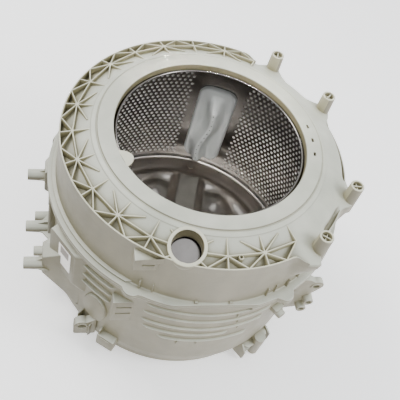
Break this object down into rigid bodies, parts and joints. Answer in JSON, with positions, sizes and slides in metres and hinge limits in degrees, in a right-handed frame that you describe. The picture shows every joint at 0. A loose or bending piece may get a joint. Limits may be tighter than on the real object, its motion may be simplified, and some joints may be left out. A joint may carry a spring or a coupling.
{
  "type": "washing machine tub and drum assembly",
  "caption": "Outer plastic tub and stainless drum of a front-loading washing machine, standing on its rear rim with the door opening up; the drum turns on its bearings.",
  "frame": {"origin": "on the drum's axis, in the plane of the rear rim that the assembly rests on", "axes": "+Z along the drum's axis towards the door opening; -X towards the side that is uppermost in the machine, +X towards its underside with the drain; +Y completes the right-handed set"},
  "size_m": [0.57, 0.483, 0.3915],
  "materials": {
    "tub_plastic": "moulded, slightly satin, cream grey",
    "drum_steel": "bright rolled stainless sheet",
    "lifter_plastic": "moulded grey plastic, satin",
    "spider_alloy": "die-cast, matt",
    "shaft_steel": "turned steel",
    "bearing_steel": "ground bearing steel",
    "seal_rubber": "black nitrile rubber",
    "seal_ring_brass": "turned brass",
    "label_paper": "blank coated paper label"
  },
  "bodies": {
    "tub": {"front_tub_cover": "tub_plastic", "rear_tub_half": "tub_plastic", "blank_label": "label_paper", "bearing_sleeve": "spider_alloy", "front_bearing_outer_race": "bearing_steel", "front_bearing_front_shield": "bearing_steel", "front_bearing_rear_shield": "bearing_steel", "rear_bearing_outer_race": "bearing_steel", "rear_bearing_front_shield": "bearing_steel", "rear_bearing_rear_shield": "bearing_steel", "shaft_seal": "seal_rubber"},
    "drum": {"drum_front": "drum_steel", "drum_wrapper": "drum_steel", "drum_back": "drum_steel", "lifter_1": "lifter_plastic", "lifter_2": "lifter_plastic", "lifter_3": "lifter_plastic", "spider": "spider_alloy", "spider_bolt_1": "shaft_steel", "spider_bolt_2": "shaft_steel", "spider_bolt_3": "shaft_steel", "drum_shaft": "shaft_steel", "seal_running_ring": "seal_ring_brass", "front_bearing_inner_race": "bearing_steel", "rear_bearing_inner_race": "bearing_steel"},
    "front_balls": {"front_bearing_balls": "bearing_steel"},
    "rear_balls": {"rear_bearing_balls": "bearing_steel"}
  },
  "joints": [
    {"name": "drum_spin", "type": "hinge", "parent": "tub", "child": "drum", "pos_m": [0, 0, 0.048], "axis": [0, 0, 1], "continuous": true},
    {"name": "front_balls_orbit", "type": "hinge", "parent": "tub", "child": "front_balls", "pos_m": [0, 0, 0.0555], "axis": [0, 0, 1], "continuous": true},
    {"name": "rear_balls_orbit", "type": "hinge", "parent": "tub", "child": "rear_balls", "pos_m": [0, 0, 0.024], "axis": [0, 0, 1], "continuous": true}
  ],
  "couplings": [
    {"joint": "front_balls_orbit", "follows": "drum_spin", "ratio": 0.3928},
    {"joint": "rear_balls_orbit", "follows": "drum_spin", "ratio": 0.3771}
  ]
}
